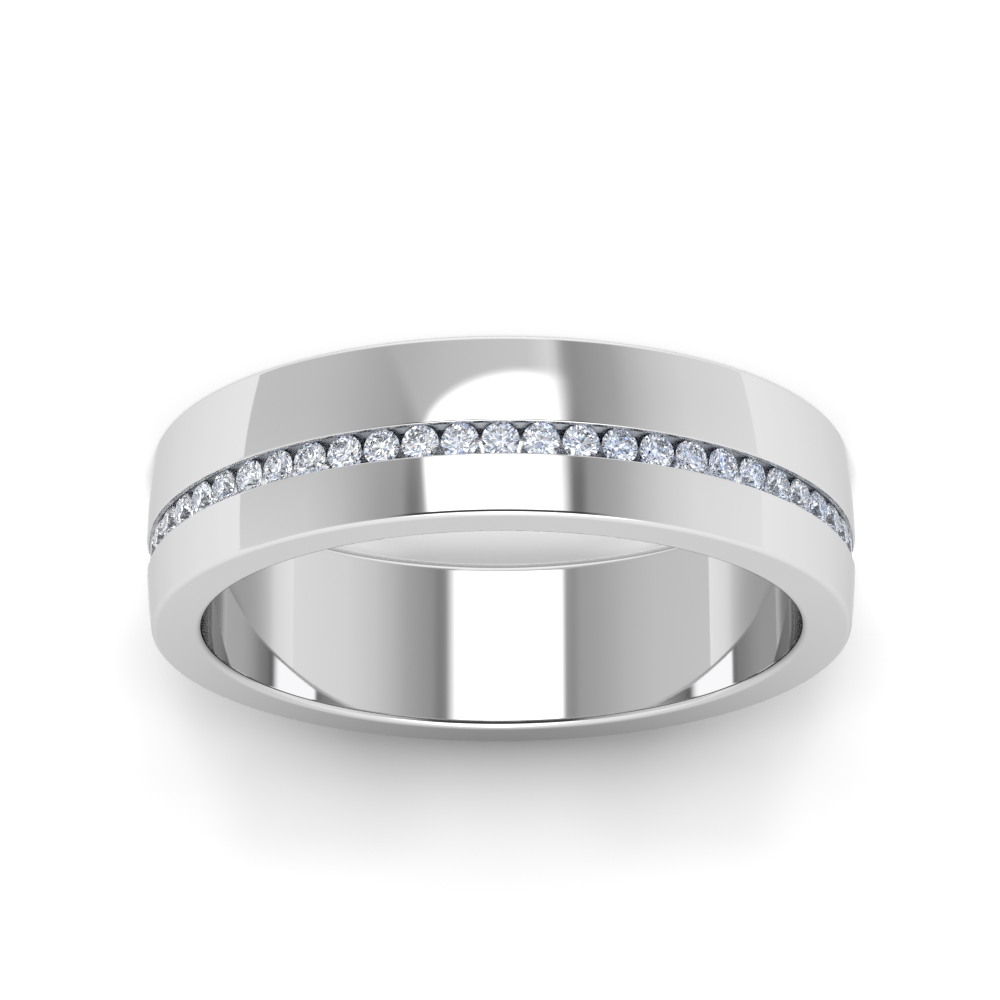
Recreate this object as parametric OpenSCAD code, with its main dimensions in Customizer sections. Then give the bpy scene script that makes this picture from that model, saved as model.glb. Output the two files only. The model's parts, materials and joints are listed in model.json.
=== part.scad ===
// Channel set band, lying on its side.
// A softly domed metal ring carries one row of round brilliants in an off-centre channel
// that runs half way round. Sizes are in millimetres.
// The ring axis is Z, the lower side face rests on Z = 0 and the origin is the middle
// of the footprint. The middle of the stone row faces -Y.

/* [Band] */
// Diameter of the finger hole
bore_d = 17.35; // [15:0.05:22]
// Width of the band along the ring axis
band_w = 5.3; // [4.6:0.1:8]
// Metal thickness at the top of the dome
wall = 1.65; // [1.4:0.05:2.4]
// Height of the soft dome across the outer face
dome_rise = 0.18; // [0.06:0.01:0.28]
// Radius of the rounded outer edges
outer_edge_r = 0.17; // [0.08:0.01:0.24]
// Radius of the rounded edges of the finger hole
bore_edge_r = 0.23; // [0.1:0.01:0.35]

/* [Stones] */
// Number of stones in the row, an odd number
stone_count = 29; // [5:2:31]
// Diameter of each stone at its girdle
stone_d = 1.04; // [0.9:0.01:1.15]
// Free space between the girdles of neighbouring stones
stone_gap = 0.07; // [0.03:0.005:0.12]
// Turn of each stone about its own axis from its neighbour, in degrees
stone_turn = 17; // [0:1:45]
// Width of the table as a share of the stone diameter
table_share = 0.57; // [0.5:0.01:0.65]
// Height of the crown as a share of the stone diameter
crown_share = 0.15; // [0.12:0.005:0.17]
// Thickness of the girdle as a share of the stone diameter
girdle_share = 0.04; // [0.035:0.005:0.06]
// Depth of the pavilion as a share of the stone diameter
pavilion_share = 0.43; // [0.41:0.005:0.45]

/* [Channel] */
// Distance of the channel's middle line from the band's middle, towards the upper face
channel_offset = 0.43; // [0:0.01:0.8]
// How far each channel wall reaches over the girdle
lip = 0.055; // [0.03:0.005:0.065]
// Bevel along both channel edges
channel_bevel = 0.055; // [0.03:0.005:0.06]
// Depth of the tables below the outer face
table_sink = 0.09; // [0.06:0.01:0.16]
// Free space between a girdle and the groove that holds it
seat_gap = 0.015; // [0.01:0.005:0.03]
// Width of the sloped ledge under each side of a girdle
ledge_w = 0.12; // [0.06:0.01:0.2]
// Free space between the stone tips and the channel floor
floor_gap = 0.08; // [0.04:0.01:0.12]
// Free space between the last stone and the end of the channel
end_gap = 0.02; // [0.015:0.005:0.1]

/* [Hidden] */
// Smoothness of the curved surfaces
$fn = 180;
// Smoothness of the shallow dome arc
DOME_FN = 720;
// Margin by which cutters run past the metal
OVER = 0.5;

BORE_R = bore_d / 2;
OUTER_R = BORE_R + wall;
HALF_W = band_w / 2;

// Circle whose arc makes the domed outer face
DOME_R = (HALF_W * HALF_W + dome_rise * dome_rise) / (2 * dome_rise);
DOME_C = OUTER_R - DOME_R;
// Centre radius of the outer edge roundings, tangent to the dome and to the side faces
EDGE_C = DOME_C + sqrt(pow(DOME_R - outer_edge_r, 2) - pow(HALF_W - outer_edge_r, 2));
// Lines from the dome centre through the rounding centres, run past the metal
RAY_END = (OUTER_R + OVER - DOME_C) / (EDGE_C - DOME_C);

CHANNEL_Z = HALF_W + channel_offset;
// Radius of the outer face on the channel's middle line
FACE_R = DOME_C + sqrt(DOME_R * DOME_R - channel_offset * channel_offset);

// Heights inside a stone, measured from its girdle's upper corners
CROWN_H = crown_share * stone_d;
GIRDLE_H = girdle_share * stone_d;
PAVILION_H = pavilion_share * stone_d;

// Radii from the ring axis
TABLE_R = FACE_R - table_sink;
SEAT_R = TABLE_R - CROWN_H;
GIRDLE_LOW_R = SEAT_R - GIRDLE_H;
FLOOR_R = GIRDLE_LOW_R - PAVILION_H - floor_gap;

// Angle from one stone to the next, and angle of the whole channel
PITCH = 2 * asin((stone_d + stone_gap) / (2 * GIRDLE_LOW_R));
END_ANGLE = atan((stone_d / 2 + end_gap) / GIRDLE_LOW_R);
ROW_ANGLE = (stone_count - 1) * PITCH + 2 * END_ANGLE;
MIDDLE = (stone_count - 1) / 2;

METAL = [0.84, 0.85, 0.87];
GEM = [0.72, 0.84, 0.95, 0.85];

function two(i) = i < 10 ? str("0", i) : str(i);
function stone_name(i) = str("stone_", two(i + 1));

// Section of the plain band: radius from the ring axis across, height along the axis up.
module band_section() {
    translate([BORE_R + bore_edge_r, 0])
        square([EDGE_C - BORE_R - bore_edge_r, band_w]);
    translate([BORE_R, bore_edge_r])
        square([bore_edge_r + outer_edge_r, band_w - 2 * bore_edge_r]);
    translate([BORE_R + bore_edge_r, bore_edge_r])
        circle(r = bore_edge_r);
    translate([BORE_R + bore_edge_r, band_w - bore_edge_r])
        circle(r = bore_edge_r);
    translate([EDGE_C, outer_edge_r])
        circle(r = outer_edge_r);
    translate([EDGE_C, band_w - outer_edge_r])
        circle(r = outer_edge_r);
    intersection() {
        translate([DOME_C, HALF_W])
            circle(r = DOME_R, $fn = DOME_FN);
        polygon([
            [EDGE_C, outer_edge_r],
            ray_point(-1),
            ray_point(1),
            [EDGE_C, band_w - outer_edge_r],
        ]);
    }
}

// Point outside the metal on the line from the dome centre through one rounding centre.
function ray_point(side) = [
    DOME_C + (EDGE_C - DOME_C) * RAY_END,
    HALF_W + side * (HALF_W - outer_edge_r) * RAY_END
];

// One side of the channel section as [radius, half width], from the open top to the floor.
function channel_side() = let (
    mouth = stone_d / 2 - lip,
    groove = stone_d / 2 + seat_gap,
    ledge = stone_d / 2 - ledge_w,
    slope = PAVILION_H / (stone_d / 2)
) [
    [FACE_R + OVER, mouth + channel_bevel + OVER],
    [FACE_R - channel_bevel, mouth],
    [SEAT_R + seat_gap + groove - mouth, mouth],
    [SEAT_R + seat_gap, groove],
    [GIRDLE_LOW_R - seat_gap, groove],
    [GIRDLE_LOW_R - seat_gap - (groove - ledge) * slope, ledge],
    [FLOOR_R, ledge],
];

// The channel section, mirrored about the channel's middle line.
module channel_section() {
    side = channel_side();
    last = len(side) - 1;
    translate([0, CHANNEL_Z])
        polygon(concat(
            [for (p = side) p],
            [for (i = [last : -1 : 0]) [side[i][0], -side[i][1]]]
        ));
}

// The metal ring with its channel.
module band() {
    color(METAL)
    difference() {
        rotate_extrude()
            band_section();
        rotate([0, 0, 270 - ROW_ANGLE / 2])
            rotate_extrude(angle = ROW_ANGLE)
                channel_section();
    }
}

// A point at an angle and radius in the stone's own frame.
function polar(angle, r, z) = [r * cos(angle), r * sin(angle), z];

// One round brilliant with its axis on Z, its table up and its girdle's upper corners at Z = 0.
module brilliant() {
    r = stone_d / 2;
    // Main facets are 45 degrees apart and half facets 22.5; the girdle has 32 sides.
    half = 22.5;
    quarter = 11.25;
    table_r = table_share * r;
    star_r = (table_r * cos(half) + r) / 2;
    star_z = CROWN_H * (r - star_r * cos(half)) / (r - table_r);
    tip_r = 0.25 * r;
    tip_z = -GIRDLE_H - PAVILION_H * (r - tip_r * cos(half)) / r;
    // How far the flat half facets cut past the corner circle between two girdle corners
    bulge = r * (1 - cos(quarter)) / cos(quarter);
    top_dip = star_z * bulge / (r - star_r);
    low_rise = -(tip_z + GIRDLE_H) * bulge / (r - tip_r);

    table = [for (i = [0 : 7]) polar(45 * i, table_r, CROWN_H)];
    star = [for (i = [0 : 7]) polar(45 * i + half, star_r, star_z)];
    upper = [for (i = [0 : 31]) polar(quarter * i, r, i % 2 == 0 ? 0 : -top_dip)];
    lower = [for (i = [0 : 31])
        polar(quarter * i, r, i % 2 == 0 ? -GIRDLE_H : -GIRDLE_H + low_rise)];
    tips = [for (i = [0 : 7]) polar(45 * i + half, tip_r, tip_z)];
    culet = [0, 0, -GIRDLE_H - PAVILION_H];

    // Index of the first point of each group
    s = 8;
    u = 16;
    w = 48;
    t = 80;
    c = 88;
    polyhedron(
        points = concat(table, star, upper, lower, tips, [culet]),
        faces = concat(
            [[for (i = [7 : -1 : 0]) i]],
            [for (i = [0 : 7]) [i, (i + 1) % 8, s + i]],
            [for (i = [0 : 7]) [i, s + i, u + 4 * i, s + (i + 7) % 8]],
            [for (i = [0 : 7]) [s + i, u + 4 * i + 2, u + 4 * i + 1, u + 4 * i]],
            [for (i = [0 : 7]) [s + i, u + (4 * i + 4) % 32, u + 4 * i + 3, u + 4 * i + 2]],
            [for (i = [0 : 31]) [u + i, u + (i + 1) % 32, w + (i + 1) % 32, w + i]],
            [for (i = [0 : 7]) [t + i, w + 4 * i, w + 4 * i + 1, w + 4 * i + 2]],
            [for (i = [0 : 7]) [t + i, w + 4 * i + 2, w + 4 * i + 3, w + (4 * i + 4) % 32]],
            [for (i = [0 : 7]) [c, t + (i + 7) % 8, w + 4 * i, t + i]]
        )
    );
}

// One stone of the row, counted from the -X end.
module stone(i) {
    k = i - MIDDLE;
    color(GEM)
    rotate([0, 0, k * PITCH])
        translate([0, -SEAT_R, CHANNEL_Z])
            rotate([90, 0, 0])
                rotate([0, 0, k * stone_turn])
                    brilliant();
}

band();
for (i = [0 : stone_count - 1])
    stone(i);
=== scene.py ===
"""Channel set band: polished metal, a row of round brilliants and the studio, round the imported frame."""

import json
import math

import bmesh
import bpy
from mathutils import Matrix, Vector


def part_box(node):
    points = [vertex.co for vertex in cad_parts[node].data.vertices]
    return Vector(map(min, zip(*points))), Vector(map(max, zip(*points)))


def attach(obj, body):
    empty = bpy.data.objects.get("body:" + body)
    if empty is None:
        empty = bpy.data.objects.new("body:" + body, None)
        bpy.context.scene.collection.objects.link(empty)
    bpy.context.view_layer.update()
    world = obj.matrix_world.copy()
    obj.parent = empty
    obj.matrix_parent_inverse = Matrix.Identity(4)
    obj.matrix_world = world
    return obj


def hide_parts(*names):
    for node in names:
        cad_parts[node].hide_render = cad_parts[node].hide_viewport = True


bl_info = {
    "name": "Channel Set Band",
    "version": (1, 0, 0),
    "blender": (4, 5, 0),
    "location": "3D View > Sidebar > Ring",
    "description": "A softly domed metal band with a channel of round brilliants, in a plain studio",
    "category": "Object",
}

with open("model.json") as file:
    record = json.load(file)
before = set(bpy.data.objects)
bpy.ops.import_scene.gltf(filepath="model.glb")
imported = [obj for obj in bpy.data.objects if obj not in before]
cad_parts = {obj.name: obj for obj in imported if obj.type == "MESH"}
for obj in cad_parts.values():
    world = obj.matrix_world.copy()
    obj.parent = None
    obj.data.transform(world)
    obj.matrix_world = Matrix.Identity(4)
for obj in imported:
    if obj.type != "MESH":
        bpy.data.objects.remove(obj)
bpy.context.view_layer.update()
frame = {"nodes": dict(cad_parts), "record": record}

MM = 0.001
BAND_LOW, BAND_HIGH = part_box("band")
BORE = next(m for m in frame["record"]["mounts"] if m["name"] == "finger_bore")
STONES = sorted(name for name in frame["nodes"] if name.startswith("stone_"))
MIDDLE_LOW, MIDDLE_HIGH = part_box(STONES[len(STONES) // 2])
CENTRE = Vector((0.0, 0.0, (BAND_LOW.z + BAND_HIGH.z) / 2))
# Height of the row of stones over the floor, and distance of the tables from the ring's axis
ROW_HEIGHT = (MIDDLE_LOW.z + MIDDLE_HIGH.z) / 2
TABLE_RADIUS = -MIDDLE_LOW.y

# Heights inside a stone as shares of its width, as in the part's source
CROWN_SHARE = 0.15
GIRDLE_SHARE = 0.04
PAVILION_SHARE = 0.43
# Refractive index of the stones
STONE_IOR = 2.417

# Steps of the roundings, of each stretch of the domed face, and of each spin of the section
EDGE_STEPS = 12
LIP_STEPS = 6
UPPER_FACE_STEPS = 8
LOWER_FACE_STEPS = 10
CLOSED_FACE_STEPS = 6
SPIN_STEPS = 256

# Share of the light that the polished metal sends back, and brightness of the softbox
METAL_REFLECTS = 0.62
BRIGHT = 2.7
# Sideways shift of the camera's frame, as a share of its width
FRAME_SHIFT = -0.00092


class RingSizes(bpy.types.PropertyGroup):
    """Sizes of the band and its channel"""

    bore: bpy.props.FloatProperty(
        name="Bore",
        description="Diameter of the finger hole",
        default=2 * BORE["dims"]["r_mm"] * MM,
        unit="LENGTH",
        precision=5,
    )
    width: bpy.props.FloatProperty(
        name="Width",
        description="Width of the band along its axis",
        default=BAND_HIGH.z - BAND_LOW.z,
        unit="LENGTH",
        precision=5,
    )
    outside: bpy.props.FloatProperty(
        name="Outside diameter",
        description="Diameter over the top of the dome",
        default=BAND_HIGH.x - BAND_LOW.x,
        unit="LENGTH",
        precision=5,
    )
    dome_rise: bpy.props.FloatProperty(
        name="Dome rise",
        description="Height of the soft dome across the outer face",
        default=0.18 * MM,
        unit="LENGTH",
        precision=5,
    )
    outer_edge: bpy.props.FloatProperty(
        name="Outer edge",
        description="Radius of the rounded outer edges",
        default=0.17 * MM,
        unit="LENGTH",
        precision=5,
    )
    bore_edge: bpy.props.FloatProperty(
        name="Bore edge",
        description="Radius of the rounded edges of the finger hole",
        default=0.23 * MM,
        unit="LENGTH",
        precision=5,
    )
    mouth: bpy.props.FloatProperty(
        name="Channel mouth",
        description="Width of the channel between its two lips",
        default=0.93 * MM,
        unit="LENGTH",
        precision=5,
    )
    groove: bpy.props.FloatProperty(
        name="Groove",
        description="Width of the channel at the groove that holds the girdles",
        default=1.07 * MM,
        unit="LENGTH",
        precision=5,
    )
    ledge: bpy.props.FloatProperty(
        name="Ledge opening",
        description="Width of the channel under the ledges",
        default=0.80 * MM,
        unit="LENGTH",
        precision=5,
    )
    lip_round: bpy.props.FloatProperty(
        name="Lip rounding",
        description="Radius of the rounded lips along the channel",
        default=0.055 * MM,
        unit="LENGTH",
        precision=5,
    )
    seat_gap: bpy.props.FloatProperty(
        name="Seat gap",
        description="Free space between the girdles and the groove",
        default=0.015 * MM,
        unit="LENGTH",
        precision=5,
    )
    floor_gap: bpy.props.FloatProperty(
        name="Floor gap",
        description="Free space between the stones' points and the channel floor",
        default=0.08 * MM,
        unit="LENGTH",
        precision=5,
    )
    row_angle: bpy.props.FloatProperty(
        name="Row angle",
        description="Angle round the ring that the channel takes up",
        default=math.radians(183.75),
        subtype="ANGLE",
    )


class RingFinish(bpy.types.PropertyGroup):
    """Colours and gloss of the metal and the stones"""

    metal: bpy.props.FloatVectorProperty(
        name="Metal",
        description="Colour of the polished white metal",
        subtype="COLOR",
        size=3,
        min=0.0,
        max=1.0,
        default=(0.62, 0.62, 0.625),
    )
    # Painted shade: the metal down in the channel is painted darker than the polished metal outside it
    channel_metal_painted_shade: bpy.props.FloatVectorProperty(
        name="Metal in the channel",
        description="Colour of the metal in the channel, which polish doesn't reach",
        subtype="COLOR",
        size=3,
        min=0.0,
        max=1.0,
        default=(0.55, 0.55, 0.56),
    )
    # Painted shade: the channel's low side, which gets the least light, is painted darker still
    seat_metal_painted_shade: bpy.props.FloatVectorProperty(
        name="Metal on the channel's low side",
        description="Colour of the metal down the side of the channel that gets the least light",
        subtype="COLOR",
        size=3,
        min=0.0,
        max=1.0,
        default=(0.28, 0.295, 0.32),
    )
    # Painted light: the channel walls and floor are painted lighter towards both ends of the row
    end_metal_painted_light: bpy.props.FloatVectorProperty(
        name="Metal in the channel near its ends",
        description="Colour of the channel walls and floor towards both ends of the row",
        subtype="COLOR",
        size=3,
        min=0.0,
        max=1.0,
        default=(0.88, 0.88, 0.88),
    )
    # Painted shade: the metal in the finger hole is painted a little darker, dimming what it mirrors
    bore_metal_painted_shade: bpy.props.FloatVectorProperty(
        name="Metal in the finger hole",
        description="Colour of the polished metal in the finger hole",
        subtype="COLOR",
        size=3,
        min=0.0,
        max=1.0,
        default=(0.59, 0.59, 0.595),
    )
    edge_gloss: bpy.props.FloatProperty(
        name="Gloss at a flat angle",
        description="How bright the metal mirrors at a flat angle, against a plain metal",
        subtype="FACTOR",
        min=0.0,
        max=1.0,
        default=0.82,
    )
    polish: bpy.props.FloatProperty(
        name="Polish",
        description="Roughness of the polished metal",
        subtype="FACTOR",
        min=0.0,
        max=1.0,
        default=0.03,
    )
    stone: bpy.props.FloatVectorProperty(
        name="Stone",
        description="Body colour of the stones",
        subtype="COLOR",
        size=3,
        min=0.0,
        max=1.0,
        default=(0.98, 0.99, 1.0),
    )
    stone_gloss: bpy.props.FloatProperty(
        name="Stone gloss",
        description="How much of its mirror-like surface reflection a stone keeps",
        subtype="FACTOR",
        min=0.0,
        max=1.0,
        default=0.35,
    )
    stone_shade: bpy.props.FloatVectorProperty(
        name="Stone shade",
        description="Second body colour that drifts through the row of stones",
        subtype="COLOR",
        size=3,
        min=0.0,
        max=1.0,
        default=(0.84, 0.90, 1.0),
    )


class Studio(bpy.types.PropertyGroup):
    """The camera's place, the floor and the lights"""

    view_height: bpy.props.FloatProperty(
        name="View height",
        description="Angle of the camera above the floor",
        subtype="ANGLE",
        default=math.radians(19.912),
    )
    view_distance: bpy.props.FloatProperty(
        name="View distance",
        description="Distance from the camera to the middle of the ring",
        default=153.73 * MM,
        unit="LENGTH",
    )
    view_roll: bpy.props.FloatProperty(
        name="View roll",
        description="Turn of the camera about its line of sight",
        subtype="ANGLE",
        default=math.radians(179.74),
    )
    aim_drop: bpy.props.FloatProperty(
        name="Aim drop",
        description="Angle by which the camera looks under the middle of the ring",
        subtype="ANGLE",
        default=math.radians(0.543),
    )
    lens: bpy.props.FloatProperty(
        name="Lens",
        description="Focal length in millimetres, on a sensor 36 mm wide",
        default=189.37,
    )
    floor: bpy.props.FloatVectorProperty(
        name="Floor",
        description="Colour of the floor",
        subtype="COLOR",
        size=3,
        min=0.0,
        max=1.0,
        default=(0.9, 0.9, 0.9),
    )
    fill: bpy.props.FloatProperty(
        name="Fill",
        description="Strength of the even light from all round that falls on the floor",
        default=0.327,
    )
    low_light: bpy.props.FloatProperty(
        name="Low light",
        description="Power of the wide low light in front of the ring, in watts",
        default=169.0,
    )
    bore_light: bpy.props.FloatProperty(
        name="Bore light",
        description="Power of the small light over the finger hole, in watts",
        default=0.00036,
    )


class Value:
    """A socket that takes part in arithmetic: each operation adds its Math node."""

    def __init__(self, maker, socket):
        self.maker = maker
        self.socket = socket

    def work(self, operation, first, second=None):
        inputs = {0: first} if second is None else {0: first, 1: second}
        return self.maker.add("ShaderNodeMath", {"operation": operation}, inputs)

    def __add__(self, other):
        return self.work("ADD", self, other)

    def __radd__(self, other):
        return self.work("ADD", other, self)

    def __sub__(self, other):
        return self.work("SUBTRACT", self, other)

    def __rsub__(self, other):
        return self.work("SUBTRACT", other, self)

    def __mul__(self, other):
        return self.work("MULTIPLY", self, other)

    def __rmul__(self, other):
        return self.work("MULTIPLY", other, self)

    def __truediv__(self, other):
        return self.work("DIVIDE", self, other)

    def __pow__(self, other):
        return self.work("POWER", self, other)

    def __neg__(self):
        return self.work("MULTIPLY", self, -1.0)

    def __abs__(self):
        return self.work("ABSOLUTE", self)

    def atan2(self, other):
        return self.work("ARCTAN2", self, other)

    def at_least(self, other):
        return self.work("MAXIMUM", self, other)

    def between(self, low, high):
        return self.work("MINIMUM", self.at_least(low), high)


class NodeMaker:
    """Fills one node tree."""

    def __init__(self, tree):
        self.tree = tree
        tree.nodes.clear()

    def add(self, kind, settings=None, inputs=None, output=0):
        """Adds a node, sets it up, then fills its sockets; returns the asked output as a Value."""
        node = self.tree.nodes.new(kind)
        for name, setting in (settings or {}).items():
            if name == "stops":
                self.set_stops(node.color_ramp, setting)
            elif name == "blend_of_stops":
                node.color_ramp.interpolation = setting
            else:
                setattr(node, name, setting)
        for name, source in (inputs or {}).items():
            socket = node.inputs[name]
            if isinstance(source, Value):
                self.tree.links.new(source.socket, socket)
            else:
                socket.default_value = source
        return Value(self, node.outputs[output]) if len(node.outputs) else node

    @staticmethod
    def set_stops(ramp, stops):
        """Gives a ramp its stops: pairs of a place from 0 to 1 and a grey or a colour."""
        while len(ramp.elements) > 1:
            ramp.elements.remove(ramp.elements[-1])
        for number, (place, colour) in enumerate(stops):
            stop = ramp.elements[0] if number == 0 else ramp.elements.new(place)
            stop.position = place
            stop.color = (*colour, 1.0) if isinstance(colour, tuple) else (colour,) * 3 + (1.0,)

    def ramp(self, position, stops, blend="LINEAR"):
        return self.add(
            "ShaderNodeValToRGB", {"stops": stops, "blend_of_stops": blend}, {"Fac": position}
        )

    def rise(self, value, start, end):
        """0 before start, 1 after end, with a soft passage between them."""
        if start > end:
            return 1.0 - self.rise(value, end, start)
        return self.add(
            "ShaderNodeMapRange",
            {"interpolation_type": "SMOOTHSTEP"},
            {"Value": value, "From Min": start, "From Max": end},
        )

    def mix(self, share, first, second):
        """The first colour where the share is 0, the second where it is 1.

        The sockets go by number, because the Mix node has several of each name.
        """
        return self.add(
            "ShaderNodeMix",
            {"data_type": "RGBA", "clamp_factor": True},
            {0: share, 6: first, 7: second},
            output=2,
        )

    def split(self, vector):
        """The three parts of a vector, each as a Value."""
        node = self.add("ShaderNodeSeparateXYZ", inputs={"Vector": vector}).socket.node
        return [Value(self, socket) for socket in node.outputs]


def colour4(colour):
    """A colour as a socket takes it, with nothing of it see-through."""
    return (*colour, 1.0)


def grey4(strength):
    """A grey of this strength as a socket takes it."""
    return colour4((strength,) * 3)


def new_material(name):
    """A material with an empty node tree, and the maker that fills it."""
    material = bpy.data.materials.new(name)
    material.use_nodes = True
    return material, NodeMaker(material.node_tree)


def add_object(scene, name, mesh):
    """Turns a finished bmesh into an object of the scene."""
    data = bpy.data.meshes.new(name)
    mesh.to_mesh(data)
    mesh.free()
    made = bpy.data.objects.new(name, data)
    scene.collection.objects.link(made)
    return made


class SectionPen:
    """Draws the ring's section as edges in the XZ plane: X is the radius, Z the height over mid width."""

    def __init__(self, mesh, radius, height):
        self.mesh = mesh
        self.point = bmesh.ops.create_vert(mesh, co=(radius, 0.0, height))["vert"][0]

    def line(self, radius, height):
        """A straight stretch to the given point."""
        made = bmesh.ops.extrude_vert_indiv(self.mesh, verts=[self.point])
        self.point = made["verts"][0]
        move = Vector((radius, 0.0, height)) - self.point.co
        bmesh.ops.translate(self.mesh, verts=[self.point], vec=move)

    def arc(self, centre, turn, steps):
        """A round stretch about a centre (radius, height), turning from X towards Z by turn radians."""
        made = bmesh.ops.spin(
            self.mesh,
            geom=[self.point],
            cent=(centre[0], 0.0, centre[1]),
            axis=(0.0, -1.0, 0.0),
            angle=turn,
            steps=steps,
            use_merge=False,
            use_duplicate=False,
        )
        self.point = next(v for v in made["geom_last"] if isinstance(v, bmesh.types.BMVert))


def heading(centre, point):
    """Angle of a point seen from a centre in the section, from X towards Z."""
    return math.atan2(point[1] - centre[1], point[0] - centre[0])


def draw_section(mesh, sizes, with_channel):
    """One closed section of the band, starting and ending at the upper lip of the channel."""
    half = sizes.width / 2
    bore = sizes.bore / 2
    outside = sizes.outside / 2
    rise = sizes.dome_rise
    dome_radius = (half**2 + rise**2) / (2 * rise)
    dome = (outside - dome_radius, 0.0)
    # Each stretch gets a point this close to a rounding, so that the rounding alone shades round
    near = 0.015 * MM
    channel = ROW_HEIGHT - CENTRE.z
    mouth, groove, ledge = sizes.mouth / 2, sizes.groove / 2, sizes.ledge / 2

    lip = sizes.lip_round
    lips = []
    for side in (1, -1):
        height = channel + side * (mouth + lip)
        centre = (dome[0] + math.sqrt((dome_radius - lip) ** 2 - height**2), height)
        lips.append((centre, heading(dome, centre)))
    (upper_lip, upper_angle), (lower_lip, lower_angle) = lips

    edge = sizes.outer_edge
    edge_height = half - edge
    edge_radius = dome[0] + math.sqrt((dome_radius - edge) ** 2 - edge_height**2)
    edge_angle = heading(dome, (edge_radius, edge_height))
    step = near / dome_radius

    start = (
        dome[0] + dome_radius * math.cos(upper_angle),
        dome_radius * math.sin(upper_angle),
    )
    pen = SectionPen(mesh, *start)
    pen.arc(dome, step, 1)
    pen.arc(dome, edge_angle - upper_angle - 2 * step, UPPER_FACE_STEPS)
    pen.arc(dome, step, 1)
    pen.arc((edge_radius, edge_height), math.pi / 2 - edge_angle, EDGE_STEPS)
    pen.line(edge_radius - near, half)
    inner = sizes.bore_edge
    pen.line(bore + inner + near, half)
    pen.line(bore + inner, half)
    pen.arc((bore + inner, half - inner), math.pi / 2, EDGE_STEPS)
    pen.line(bore, half - inner - near)
    pen.line(bore, -half + inner + near)
    pen.line(bore, -half + inner)
    pen.arc((bore + inner, -half + inner), math.pi / 2, EDGE_STEPS)
    pen.line(bore + inner + near, -half)
    pen.line(edge_radius - near, -half)
    pen.line(edge_radius, -half)
    pen.arc((edge_radius, -edge_height), math.pi / 2 - edge_angle, EDGE_STEPS)
    pen.arc(dome, step, 1)
    pen.arc(dome, edge_angle + lower_angle - 2 * step, LOWER_FACE_STEPS)
    pen.arc(dome, step, 1)

    if with_channel:
        point_radius = -MIDDLE_HIGH.y
        stone = MIDDLE_HIGH.x - MIDDLE_LOW.x
        girdle_top = TABLE_RADIUS - CROWN_SHARE * stone
        girdle_low = girdle_top - GIRDLE_SHARE * stone
        slope = PAVILION_SHARE * stone / (stone / 2)
        gap = sizes.seat_gap
        # Radius and half width of the channel, from the lower lip down to its floor
        stations = [
            (lower_lip[0] - near, mouth),
            (girdle_top + gap + groove - mouth, mouth),
            (girdle_top + gap, groove),
            (girdle_low - gap, groove),
            (girdle_low - gap - (groove - ledge) * slope, ledge),
            (point_radius - sizes.floor_gap, ledge),
        ]
        pen.arc(lower_lip, math.pi / 2 - lower_angle, LIP_STEPS)
        for radius, reach in stations:
            pen.line(radius, channel - reach)
        for radius, reach in reversed(stations[1:]):
            pen.line(radius, channel + reach)
        pen.line(upper_lip[0] - near, channel + mouth)
        pen.line(upper_lip[0], channel + mouth)
        pen.arc(upper_lip, math.pi / 2 + upper_angle, LIP_STEPS)
    else:
        pen.arc(dome, upper_angle - lower_angle, CLOSED_FACE_STEPS)


def spin_section(mesh, sizes, with_channel, start, angle):
    """Draws a section in the plane at the start angle and carries it round the axis."""
    before = set(mesh.verts)
    draw_section(mesh, sizes, with_channel)
    verts = [v for v in mesh.verts if v not in before]
    bmesh.ops.rotate(mesh, verts=verts, cent=(0, 0, 0), matrix=Matrix.Rotation(start, 3, "Z"))
    edges = [e for e in mesh.edges if e.verts[0] not in before and e.verts[1] not in before]
    bmesh.ops.spin(
        mesh,
        geom=verts + edges,
        cent=(0, 0, 0),
        axis=(0, 0, 1),
        angle=angle,
        steps=SPIN_STEPS,
        use_merge=False,
        use_duplicate=False,
    )


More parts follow.
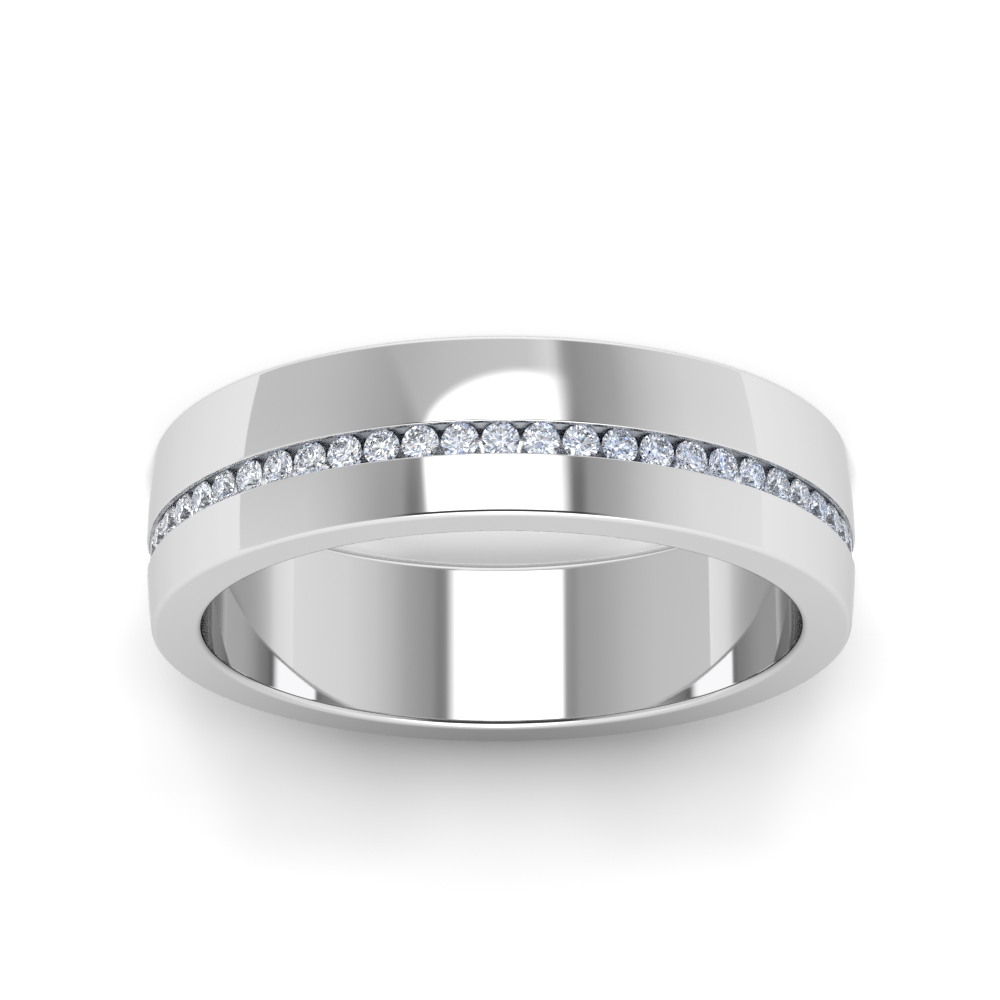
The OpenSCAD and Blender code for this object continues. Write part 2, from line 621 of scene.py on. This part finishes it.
def make_metal(finish):
    """Polished white metal: faint wipe lines round the ring, duller down in the channel, where painted
    shade makes it darker.

    Painted light keeps the channel's mouth on its low side, and all but the low side near both ends,
    lighter. Painted shade makes the finger hole a little darker.
    """
    material, maker = new_material("polished white metal")
    place = maker.add("ShaderNodeTexCoord", output="Object")
    x, y, z = maker.split(place)
    radius = (x * x + y * y) ** 0.5
    # The channel: below its lips, between its walls, and above its floor
    sunk = maker.rise(radius, TABLE_RADIUS + 0.055 * MM, TABLE_RADIUS - 0.02 * MM)
    between_walls = maker.rise(abs(z - ROW_HEIGHT), 0.6 * MM, 0.57 * MM)
    above_floor = maker.rise(radius, TABLE_RADIUS - 0.85 * MM, TABLE_RADIUS - 0.80 * MM)
    channel = sunk * between_walls * above_floor

    # Fine lines that polishing leaves round the ring, and a wider haze
    line_width = 0.05 * MM
    lines = maker.add(
        "ShaderNodeCombineXYZ",
        inputs={"X": radius / line_width, "Y": y.atan2(x) * 1.5, "Z": z / line_width},
    )
    wipe = maker.add(
        "ShaderNodeTexNoise", inputs={"Vector": lines, "Scale": 1.0, "Detail": 3.0, "Roughness": 0.6}
    )
    haze = maker.add(
        "ShaderNodeTexNoise", inputs={"Vector": place, "Scale": 260.0, "Detail": 2.0}
    )
    low_side = maker.rise(z - ROW_HEIGHT, -0.34 * MM, -0.39 * MM)
    polished = finish.polish * (0.7 + 0.3 * wipe + 0.3 * haze)
    roughness = polished + channel * (0.12 + 0.28 * low_side)
    # Only the face of the finger hole lies this far under the top of the dome, where the metal is painted
    # a little darker: painted shade that dims what the hole mirrors
    bore = maker.rise(radius, BAND_HIGH.x - 1.5 * MM, BAND_HIGH.x - 1.6 * MM)
    colour = maker.mix(bore, colour4(finish.metal), colour4(finish.bore_metal_painted_shade))
    # Painted light: the channel's mouth on its low side, and all but the low side near both ends, are
    # painted lighter
    near_end = maker.rise(abs(x), 5.6 * MM, 7.0 * MM)
    # The channel's painted shading: darker down in it, and darker still on its low side
    channel_painted_shading = maker.mix(low_side, colour4(finish.channel_metal_painted_shade), colour4(finish.seat_metal_painted_shade))
    mouth = maker.rise(radius, TABLE_RADIUS - 0.16 * MM, TABLE_RADIUS - 0.10 * MM)
    lighter = near_end * (1.0 - low_side) + low_side * mouth * (0.55 + 0.25 * near_end)
    channel_painted_shading = maker.mix(lighter, channel_painted_shading, colour4(finish.end_metal_painted_light))
    colour = maker.mix(channel, colour, channel_painted_shading)
    bump = maker.add(
        "ShaderNodeBump",
        inputs={"Strength": 0.02, "Distance": 0.002 * MM, "Height": wipe},
    )
    shader = maker.add(
        "ShaderNodeBsdfPrincipled",
        inputs={
            "Base Color": colour,
            "Metallic": 1.0,
            "Specular Tint": grey4(finish.edge_gloss),
            "Roughness": roughness,
            "Normal": bump,
        },
    )
    maker.add("ShaderNodeOutputMaterial", inputs={"Surface": shader})
    return material


def make_stone(finish):
    """Clear cut stone with a faint drift of body colour along the row."""
    material, maker = new_material("clear cut stone")
    place = maker.add("ShaderNodeTexCoord", output="Object")
    drift = maker.add(
        "ShaderNodeTexNoise", inputs={"Vector": place, "Scale": 900.0, "Detail": 1.0}
    )
    x, _, _ = maker.split(place)
    share = maker.rise(drift, 0.4, 0.6) * (0.6 - 0.4 * x / BAND_HIGH.x)
    colour = maker.mix(share, colour4(finish.stone), colour4(finish.stone_shade))
    shader = maker.add(
        "ShaderNodeBsdfPrincipled",
        inputs={
            "Base Color": colour,
            "Roughness": 0.0,
            "IOR": STONE_IOR,
            "Transmission Weight": 1.0,
            "Specular Tint": grey4(finish.stone_gloss),
        },
    )
    maker.add("ShaderNodeOutputMaterial", inputs={"Surface": shader})
    return material


def tone(grey):
    """Strength of light that the polished metal shows as this grey, out of 255."""
    share = grey / 255
    linear = ((share + 0.055) / 1.055) ** 2.4 if share > 0.04 else share / 12.92
    return linear / METAL_REFLECTS


def tones(*stops, full=180):
    """Ramp stops from pairs of an angle in degrees, out of the full one, and a grey."""
    return [(angle / full, tone(grey)) for angle, grey in stops]


def paint_studio(world, settings):
    """What the metal mirrors: grey walls, a softbox with dark rims, a pale floor and a white front.

    A place in it is an angle across, in degrees round the ring's axis from its front, and a share
    along that axis, from 0 level with the ring to 1 straight below it. Left and right are the photo's.
    """
    world.use_nodes = True
    maker = NodeMaker(world.node_tree)
    direction = maker.add("ShaderNodeTexCoord", output="Generated")
    x, y, z = maker.split(direction)
    across = (-x).atan2(-y) * (180 / math.pi)
    along = -z
    away = abs(across)
    turn = away / 180
    softbox_light = grey4(BRIGHT)
    # Middle line of the softbox, and the place along where its far end begins to round
    middle = 8.0
    bend = 0.33

    # Walls: one on each side, and an inner one between the two dark rims
    left_rim = -27.3 - 150.0 * (along - 0.27).at_least(0.0) ** 2
    right_rim = 24.0
    from_left_rim = across - left_rim
    high = maker.rise(along, 0.08, 0.48)
    left_low = maker.ramp(
        turn,
        tones((20, 125), (30, 148), (38, 158), (44, 172), (52, 190), (64, 204), (92, 212)),
    )
    left_high = maker.ramp(
        turn,
        tones((20, 150), (30, 160), (44, 172), (52, 180), (64, 187), (92, 191)),
    )
    left = maker.mix(high, left_low, left_high)
    right = maker.ramp(
        turn,
        tones((20, 130), (24, 130), (28, 146), (38, 169), (44, 187), (52, 204), (64, 217), (92, 224)),
    )
    upper_right = maker.ramp(
        turn,
        tones((20, 145), (26, 143), (38, 160), (44, 178), (52, 194), (64, 207), (92, 216)),
    )
    right = maker.mix(maker.rise(along, 0.2, 0.5), right, upper_right)
    inner_span = 90.0
    inner = maker.ramp(
        (across + inner_span / 2) / inner_span,
        tones(
            (0, 172), (15, 178), (27, 187), (45, 194), (54, 196),
            (61, 211), (63.5, 200), (65, 176), (67, 155), (71, 141),
            full=inner_span,
        ),
    )
    walls = maker.mix(maker.rise(across, 12.0, 24.0), left, right)
    between_rims = maker.rise(from_left_rim, -1.5, 5.0) * maker.rise(across, 26.0, 20.0)
    walls = maker.mix(between_rims, walls, inner)
    on_left_rim = maker.rise(abs(from_left_rim), 4.5, 0.5) * maker.rise(along, 0.46, 0.10)
    on_right_rim = maker.rise(abs(across - right_rim), 4.0, 0.5) * maker.rise(along, 0.44, 0.15)
    walls = maker.mix(on_left_rim * 0.85, walls, grey4(tone(112)))
    walls = maker.mix(on_right_rim * 0.75, walls, grey4(tone(98)))

    # Softbox: rounded at its left and far end, straight on its right, softer the further along
    reach = 32.2 - 8.0 * (bend - along).at_least(0.0)
    climb = (along - bend).at_least(0.0)
    leftward = (middle - across).at_least(0.0)
    corner = 1.0 - ((leftward / reach) ** 2 + (climb / 0.172) ** 2) ** 0.5
    soft = 0.065 + 0.5 * climb
    edge = 18.15 + 4.0 * (0.24 - along).at_least(0.0) - 100.0 * climb**2
    softbox = maker.rise(corner / soft, -1.0, 1.0)
    softbox = softbox * maker.rise((edge - across) / (4.7 + 28.0 * climb), -1.0, 1.0)
    softbox = softbox * maker.rise(along, 0.02, 0.07)
    overhead = maker.mix(softbox, walls, softbox_light)

    # Round it: the pale far end, the shade from level upwards, the white front and the pale back
    far_end = maker.rise(along, 0.58, 0.95)
    overhead = maker.mix(far_end, overhead, grey4(tone(246)))
    facing = maker.rise(away, 38.0, 24.0)
    shade = maker.rise(along, 0.06, 0.0) * facing
    overhead = maker.mix(shade, overhead, grey4(tone(62)))
    front = maker.mix(maker.rise(abs(across - middle), 52.0, 28.0), grey4(tone(232)), softbox_light)
    overhead = maker.mix(maker.rise(along, -0.52, -0.62), overhead, front)
    studio = maker.mix(maker.rise(away, 90.9, 91.5), overhead, grey4(tone(229)))

    # Sparkle that shows only through the stones: cells of plain strengths and faint tints
    cells = maker.add(
        "ShaderNodeTexVoronoi",
        {"voronoi_dimensions": "3D", "feature": "F1"},
        {"Vector": direction, "Scale": 14.0},
        output="Color",
    )
    lot, tint_lot, _ = maker.split(cells)
    flash = maker.ramp(
        lot,
        [(0.0, 0.2), (0.14, 0.42), (0.34, 0.68), (0.58, 0.95), (0.80, 1.4), (0.93, 2.3)],
        blend="CONSTANT",
    )
    tint = maker.ramp(
        tint_lot - 0.12 * x,
        [
            (0.0, (1.0, 0.9, 0.74)),
            (0.03, (1.0, 1.0, 1.0)),
            (0.42, (0.80, 0.87, 1.0)),
            (0.68, (0.84, 0.84, 1.0)),
            (0.86, (0.62, 0.80, 1.0)),
            (0.96, (0.40, 0.52, 1.0)),
        ],
        blend="CONSTANT",
    )
    lift = maker.ramp(
        0.5 + 0.5 * x,
        [(0.0, 1.5), (0.1, 1.33), (0.25, 0.84), (0.5, 0.9), (0.75, 1.03), (0.9, 2.0), (1.0, 2.2)],
    )
    sparkle = maker.add("ShaderNodeVectorMath", {"operation": "MULTIPLY"}, {0: flash * lift, 1: tint})

    # Each kind of ray sees its own part, and the camera sees white
    rays = maker.add("ShaderNodeLightPath").socket.node.outputs
    is_camera, is_diffuse, is_through = (
        Value(maker, rays[name]) for name in ("Is Camera Ray", "Is Diffuse Ray", "Is Transmission Ray")
    )
    light = maker.mix(is_through, studio, sparkle)
    light = maker.mix(is_diffuse, light, grey4(settings.fill))
    light = maker.mix(is_camera, light, grey4(1.0))
    back = maker.add("ShaderNodeBackground", inputs={"Color": light, "Strength": 1.0})
    maker.add("ShaderNodeOutputWorld", inputs={"Surface": back})


class RING_OT_band(bpy.types.Operator):
    """Makes the polished band with its channel"""

    bl_idname = "ring.band"
    bl_label = "Make the band"

    def execute(self, context):
        sizes = context.scene.ring_sizes
        row = sizes.row_angle
        same_point = 0.0002 * MM
        sharp = math.radians(30)
        start = math.radians(270) - row / 2
        mesh = bmesh.new()
        spin_section(mesh, sizes, True, start, row)
        spin_section(mesh, sizes, False, start + row, 2 * math.pi - row)
        bmesh.ops.remove_doubles(mesh, verts=mesh.verts, dist=same_point)
        rims = [edge for edge in mesh.edges if edge.is_boundary]
        bmesh.ops.holes_fill(mesh, edges=rims, sides=0)
        bmesh.ops.translate(mesh, verts=mesh.verts, vec=(0, 0, CENTRE.z))
        bmesh.ops.recalc_face_normals(mesh, faces=mesh.faces)
        loose = [edge for edge in mesh.edges if not edge.is_manifold]
        if loose:
            raise RuntimeError(f"the band isn't closed: {len(loose)} open edges")
        for face in mesh.faces:
            face.smooth = True
        for edge in mesh.edges:
            edge.smooth = edge.calc_face_angle() < sharp
        band = add_object(context.scene, "polished_band", mesh)
        band.data.materials.append(make_metal(context.scene.ring_finish))
        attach(band, "root")
        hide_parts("band")
        return {"FINISHED"}


class RING_OT_stones(bpy.types.Operator):
    """Gives the stones of the row their clear cut finish"""

    bl_idname = "ring.stones"
    bl_label = "Finish the stones"

    def execute(self, context):
        material = make_stone(context.scene.ring_finish)
        for name in STONES:
            stone = frame["nodes"][name]
            stone.material_slots[0].material = material
        return {"FINISHED"}


class RING_OT_studio(bpy.types.Operator):
    """Makes the floor, the lights, the surroundings and the camera"""

    bl_idname = "ring.studio"
    bl_label = "Set up the studio"

    def execute(self, context):
        scene = context.scene
        settings = scene.ring_studio
        self.make_floor(scene, settings)
        self.make_card(scene)
        self.make_lights(scene, settings)
        scene.world = bpy.data.worlds.new("studio")
        scene.world.cycles.sampling_method = "NONE"
        paint_studio(scene.world, settings)
        self.make_camera(scene, settings)
        scene.view_settings.view_transform = "Standard"
        scene.view_settings.look = "None"
        # Light crosses a stone many times, and the finger hole mirrors itself
        cycles = scene.cycles
        cycles.max_bounces = 24
        cycles.glossy_bounces = 20
        cycles.transmission_bounces = 20
        cycles.diffuse_bounces = 4
        cycles.caustics_reflective = False
        return {"FINISHED"}

    def make_floor(self, scene, settings):
        """A round plain floor, with painted light that makes it a little lighter beside the ring and
        inside it, and painted shade that makes it darker far behind.
        """
        mesh = bmesh.new()
        bmesh.ops.create_circle(mesh, cap_ends=True, segments=96, radius=3.0)
        floor = add_object(scene, "floor", mesh)
        # The metal mirrors the card and the surroundings in its place
        floor.visible_glossy = False
        floor.visible_transmission = False
        material, maker = new_material("floor")
        material.cycles.emission_sampling = "NONE"
        place = maker.add("ShaderNodeTexCoord", output="Object")
        grain = maker.add("ShaderNodeTexNoise", inputs={"Vector": place, "Scale": 300.0})
        shade = maker.mix(grain, colour4(settings.floor), colour4([c * 0.99 for c in settings.floor]))
        x, y, _ = maker.split(place)
        # Places inside the ring go by a share of its radius, and places round it by millimetres
        radius = (x * x + y * y) ** 0.5 / BAND_HIGH.x
        x, y = abs(x / MM), y / MM
        # Painted light: the floor glows under the far rim and in the corners inside the ring, lifting the
        # shade there
        painted_light_under_rim = 0.34 * maker.rise(radius, 0.825, 0.852)
        painted_light_in_corners = 0.13 * maker.rise(x, 2.2, 4.4) * maker.rise(radius, 0.68, 0.80)
        painted_light_in_bore = maker.rise(radius, 0.90, 0.87) * (painted_light_under_rim + painted_light_in_corners)
        # Painted light: the floor glows beside the ring, more so near it, lifting the shade there
        beside = maker.rise(x, 9.8, 11.5) * maker.rise(y, 32.0, 22.0)
        glow = painted_light_in_bore + beside * (0.08 + 0.08 * maker.rise(y, 17.0, 10.0))
        # Painted shade: the floor is painted darker far behind the ring, widening its shadow there
        behind = maker.rise(x, 1.5, 5.0) * maker.rise(x, 11.0, 8.5)
        behind = behind * maker.rise(y, 24.0, 30.0) * maker.rise(y, 44.0, 36.0)
        shade = maker.mix(0.08 * behind, shade, grey4(0.0))
        shader = maker.add(
            "ShaderNodeBsdfPrincipled",
            inputs={
                "Base Color": shade,
                "Roughness": 1.0,
                "Specular IOR Level": 0.0,
                "Emission Color": glow,
                "Emission Strength": 1.0,
            },
        )
        maker.add("ShaderNodeOutputMaterial", inputs={"Surface": shader})
        floor.data.materials.append(material)

    def make_card(self, scene):
        """A pale card close behind the ring that only its metal mirrors, with a painted shadow of the ring
        that makes it darker near the ring.
        """
        reach = 300.0
        mesh = bmesh.new()
        bmesh.ops.create_grid(mesh, x_segments=1, y_segments=1, size=reach * MM)
        bmesh.ops.rotate(
            mesh, verts=mesh.verts, cent=(0, 0, 0), matrix=Matrix.Rotation(math.radians(90), 3, "X")
        )
        bmesh.ops.translate(mesh, verts=mesh.verts, vec=(0, BAND_HIGH.y + 0.05 * MM, 0))
        card = add_object(scene, "card", mesh)
        for kind in ("camera", "diffuse", "transmission", "volume_scatter", "shadow"):
            setattr(card, "visible_" + kind, False)
        material, maker = new_material("card")
        material.cycles.emission_sampling = "NONE"
        x, _, z = maker.split(maker.add("ShaderNodeTexCoord", output="Object"))
        # Places in millimetres, from straight behind the middle of the ring's lower face
        x, height = x / MM, z / MM
        distance = (x * x + height * height) ** 0.5
        # The card's light grows with distance from the ring; its dimness close to the ring is painted
        # shade
        glow = maker.ramp(
            distance / reach,
            [(0.047, 1.015), (0.063, 1.09), (0.087, 1.17), (0.16, 1.22), (0.33, 1.25), (1.0, 1.27)],
        )
        # Painted shadow of the ring on the card: darker round the ring, in a narrow patch that reaches
        # above it and a wider one that doesn't
        near = (1.0 - (x / 12.0) ** 2).at_least(0.0) * ((10.3 - height) / 5.0).between(0.0, 1.0)
        near = 0.62 * near * maker.rise(height, -4.0, 0.0)
        far = 0.45 * maker.rise(distance, 20.0, 2.0) * maker.rise(height, 7.0, 4.0)
        lit = glow - near.at_least(far)
        shader = maker.add("ShaderNodeEmission", inputs={"Color": lit, "Strength": 1.0})
        maker.add("ShaderNodeOutputMaterial", inputs={"Surface": shader})
        card.data.materials.append(material)

    def make_lights(self, scene, settings):
        """A wide low light in front of the ring, and a small one over the finger hole."""
        # The low light's distance in metres, its height as an angle, and its half sizes as angles
        distance = 2.0
        height = math.radians(12.65)
        half_across = math.radians(12)
        half_up = math.radians(5.25)
        low = self.add_light(scene, "low front light", settings.low_light)
        low.data.size = 2 * distance * math.tan(half_across)
        low.data.size_y = 2 * distance * math.tan(half_up)
        low.location = (0.0, -distance * math.cos(height), distance * math.sin(height))
        low.rotation_mode = "QUATERNION"
        low.rotation_quaternion = (-low.location).to_track_quat("-Z", "Y")
        over = self.add_light(scene, "light over the bore", settings.bore_light)
        over.data.size = 18 * MM
        over.data.size_y = 8 * MM
        over.data.spread = math.radians(25)
        over.location = (0.0, 4.4 * MM, 30 * MM)

    @staticmethod
    def add_light(scene, name, power):
        """An oblong light that shows neither to the camera nor in the ring."""
        lamp = bpy.data.lights.new(name, "AREA")
        lamp.shape = "RECTANGLE"
        lamp.energy = power
        light = bpy.data.objects.new(name, lamp)
        light.visible_camera = False
        light.visible_glossy = False
        light.visible_transmission = False
        scene.collection.objects.link(light)
        return light

    def make_camera(self, scene, settings):
        """The camera at the photo's angle to the ring, rolled so that the ring stands as in the photo."""
        camera = bpy.data.objects.new("camera", bpy.data.cameras.new("camera"))
        camera.data.sensor_width = 36.0
        camera.data.lens = settings.lens
        camera.data.shift_x = FRAME_SHIFT
        camera.data.clip_start = 0.01
        camera.data.clip_end = 10.0
        tall = settings.view_height
        away = Vector((0.0, -math.cos(tall), math.sin(tall)))
        camera.location = CENTRE + away * settings.view_distance
        low = tall + settings.aim_drop
        aim = Vector((0.0, math.cos(low), -math.sin(low)))
        roll = Matrix.Rotation(settings.view_roll, 3, "Z")
        turned = aim.to_track_quat("-Z", "Y").to_matrix() @ roll
        camera.rotation_mode = "QUATERNION"
        camera.rotation_quaternion = turned.to_quaternion()
        scene.collection.objects.link(camera)
        scene.camera = camera


class RING_PT_panel(bpy.types.Panel):
    """Lists the ring's sizes, finishes and studio settings, and the steps that make it"""

    bl_label = "Channel set band"
    bl_idname = "RING_PT_panel"
    bl_space_type = "VIEW_3D"
    bl_region_type = "UI"
    bl_category = "Ring"

    def draw(self, context):
        for group in (context.scene.ring_sizes, context.scene.ring_finish, context.scene.ring_studio):
            box = self.layout.box()
            for name in group.__annotations__:
                box.prop(group, name)
        for operator in OPERATORS:
            self.layout.operator(operator.bl_idname)


OPERATORS = (RING_OT_band, RING_OT_stones, RING_OT_studio)
GROUPS = {"ring_sizes": RingSizes, "ring_finish": RingFinish, "ring_studio": Studio}


def register():
    for name, group in GROUPS.items():
        bpy.utils.register_class(group)
        setattr(bpy.types.Scene, name, bpy.props.PointerProperty(type=group))
    for part in (*OPERATORS, RING_PT_panel):
        bpy.utils.register_class(part)


def unregister():
    for part in (RING_PT_panel, *OPERATORS):
        bpy.utils.unregister_class(part)
    for name, group in GROUPS.items():
        delattr(bpy.types.Scene, name)
        bpy.utils.unregister_class(group)


def main():
    register()
    bpy.ops.ring.band()
    bpy.ops.ring.stones()
    bpy.ops.ring.studio()


if __name__ == "__main__":
    main()
